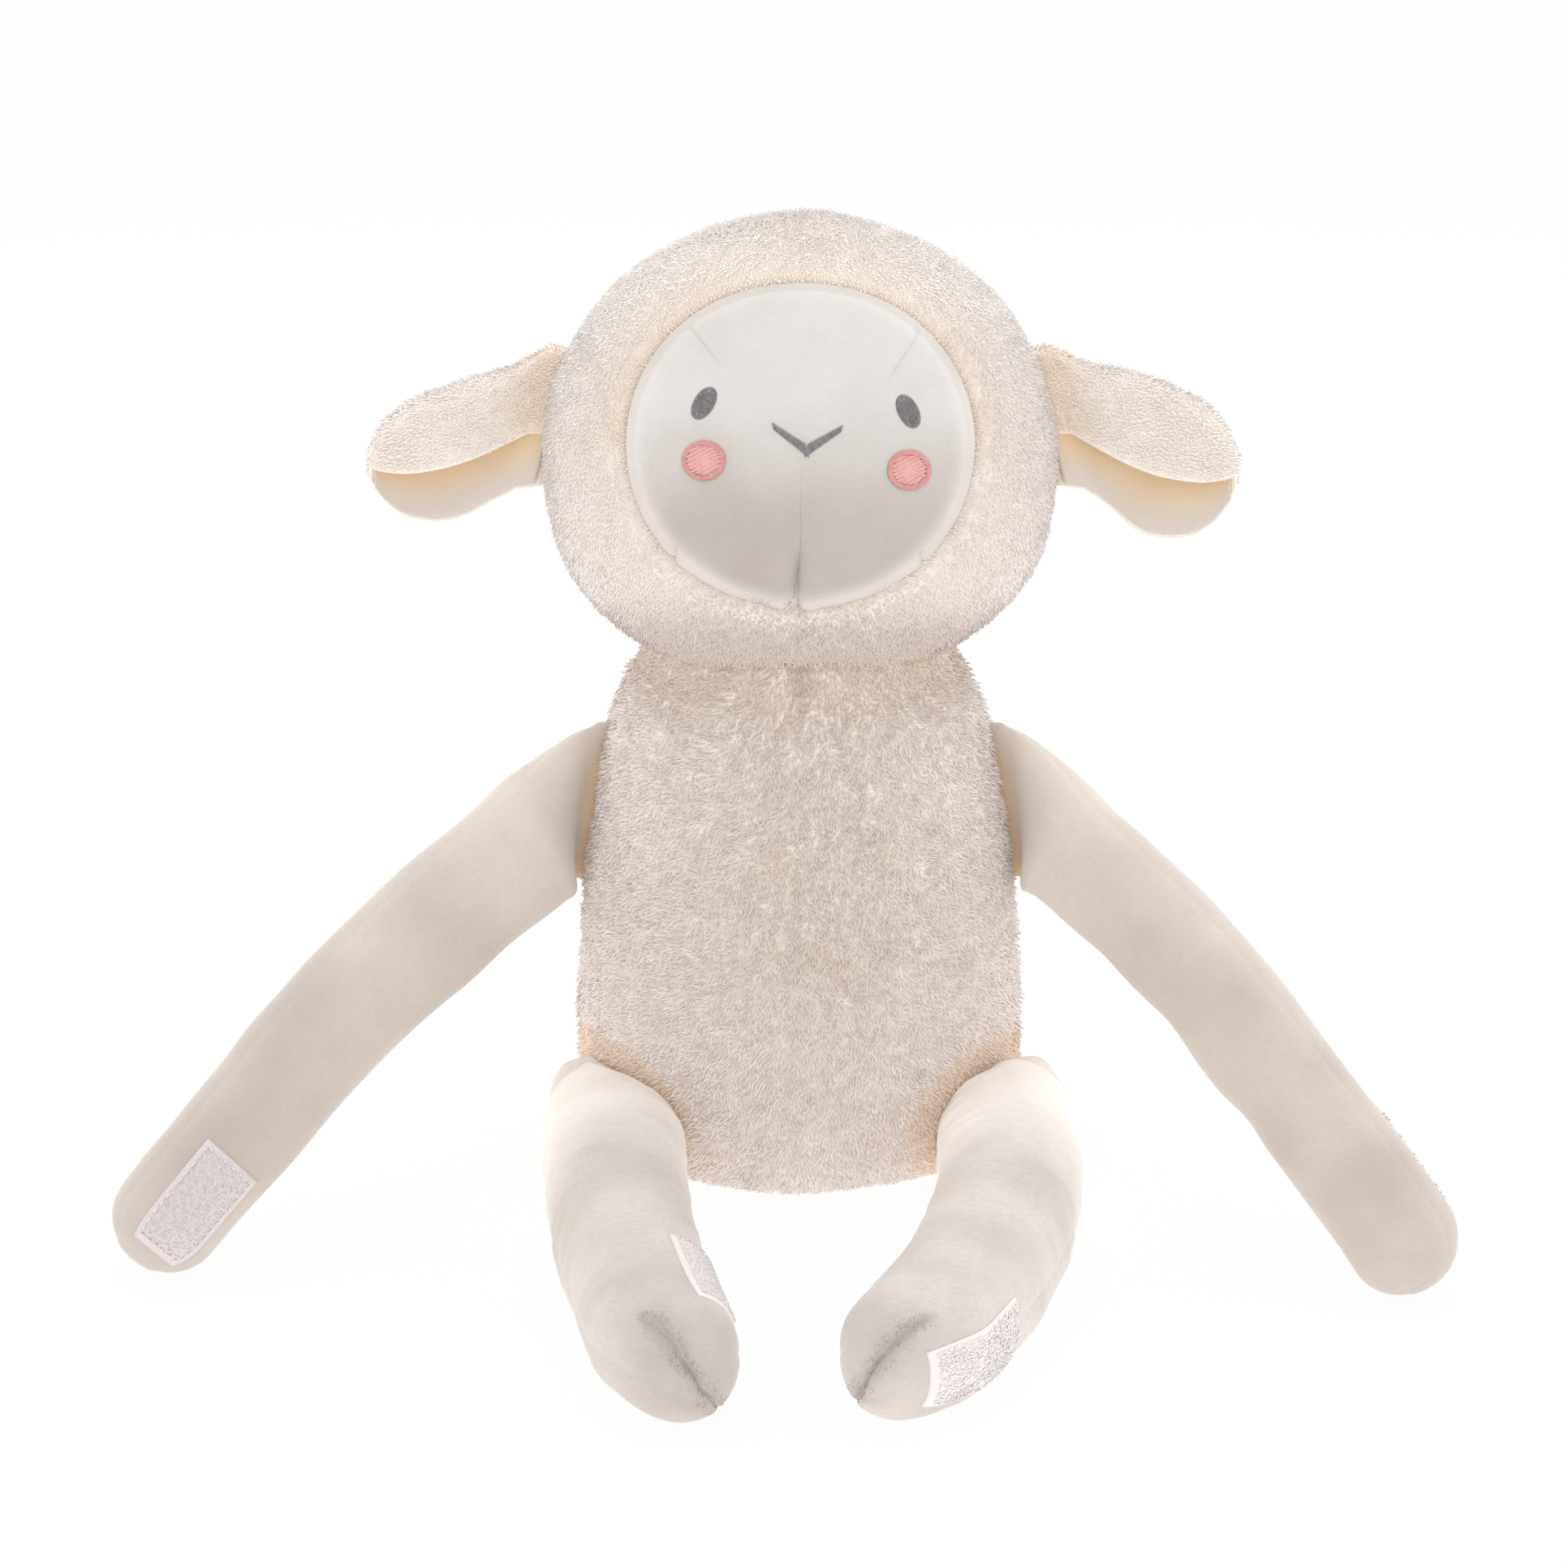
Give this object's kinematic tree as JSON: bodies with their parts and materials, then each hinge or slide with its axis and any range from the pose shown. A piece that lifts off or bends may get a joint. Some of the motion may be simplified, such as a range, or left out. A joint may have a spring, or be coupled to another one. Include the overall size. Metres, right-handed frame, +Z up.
{
  "type": "seated plush lamb comforter",
  "caption": "Seated plush lamb comforter: pile head and body, embroidered velour face, folded ears, and long velour arms and legs with hook-and-loop pads.",
  "frame": {"origin": "middle of the flat seat, on the surface that the toy sits on", "axes": "+Z up, the toy faces -Y, its own left side is +X"},
  "size_m": [0.4094, 0.2489, 0.3044],
  "materials": {
    "pile": "matte",
    "velour": "matte",
    "filling": "matte",
    "grey_thread": "satin",
    "pink_thread": "satin",
    "rose_thread": "satin",
    "tape": "satin",
    "white_thread": "satin"
  },
  "bodies": {
    "torso": {"body_front_cover": "pile", "body_back_cover": "pile", "body_filling": "filling"},
    "head": {"head_front_cover": "pile", "head_back_cover": "pile", "head_filling": "filling", "face_panel": "velour", "right_eye": "grey_thread", "left_eye": "grey_thread", "right_cheek_fill": "pink_thread", "left_cheek_fill": "pink_thread", "right_cheek_ring": "rose_thread", "left_cheek_ring": "rose_thread", "nose_mouth": "grey_thread"},
    "right_ear": {"right_ear_outer": "pile", "right_ear_lining": "velour"},
    "left_ear": {"left_ear_outer": "pile", "left_ear_lining": "velour"},
    "right_arm": {"right_arm_front_panel": "velour", "right_arm_back_panel": "velour", "right_arm_filling": "filling", "right_arm_hook_patch": "tape", "right_arm_patch_stitching": "white_thread"},
    "left_arm": {"left_arm_front_panel": "velour", "left_arm_back_panel": "velour", "left_arm_filling": "filling", "left_arm_loop_patch": "tape", "left_arm_patch_stitching": "white_thread"},
    "right_leg": {"right_leg_upper_panel": "velour", "right_leg_under_panel": "velour", "right_leg_filling": "filling", "right_leg_hook_patch": "tape", "right_leg_patch_stitching": "white_thread"},
    "left_leg": {"left_leg_upper_panel": "velour", "left_leg_under_panel": "velour", "left_leg_filling": "filling", "left_leg_loop_patch": "tape", "left_leg_patch_stitching": "white_thread"}
  },
  "joints": [
    {"name": "neck", "type": "hinge", "parent": "torso", "child": "head", "pos_m": [0, 0.012, 0.165], "axis": [1, 0, 0], "range_deg": [-15, 12], "stiffness_Nm_per_rad": 0.5},
    {"name": "right_ear_root", "type": "hinge", "parent": "head", "child": "right_ear", "pos_m": [-0.08175, 0.01166, 0.24298], "axis": [0.2588, 0.2824, 0.9237], "range_deg": [-25, 25], "stiffness_Nm_per_rad": 0.02},
    {"name": "left_ear_root", "type": "hinge", "parent": "head", "child": "left_ear", "pos_m": [0.08175, 0.01166, 0.24298], "axis": [0.2588, -0.2824, -0.9237], "range_deg": [-25, 25], "stiffness_Nm_per_rad": 0.02},
    {"name": "right_shoulder", "type": "hinge", "parent": "torso", "child": "right_arm", "pos_m": [-0.0684, 0.00849, 0.11675], "axis": [0.162, 0.0716, 0.9842], "range_deg": [-60, 30]},
    {"name": "left_shoulder", "type": "hinge", "parent": "torso", "child": "left_arm", "pos_m": [0.0684, 0.00849, 0.11675], "axis": [0.162, -0.0716, -0.9842], "range_deg": [-60, 30]},
    {"name": "right_hip", "type": "hinge", "parent": "torso", "child": "right_leg", "pos_m": [-0.0587, -0.02714, 0.01703], "axis": [0.635, -0.4492, -0.6285], "range_deg": [0, 80]},
    {"name": "left_hip", "type": "hinge", "parent": "torso", "child": "left_leg", "pos_m": [0.0587, -0.02714, 0.01703], "axis": [0.635, 0.4492, 0.6285], "range_deg": [0, 80]}
  ]
}
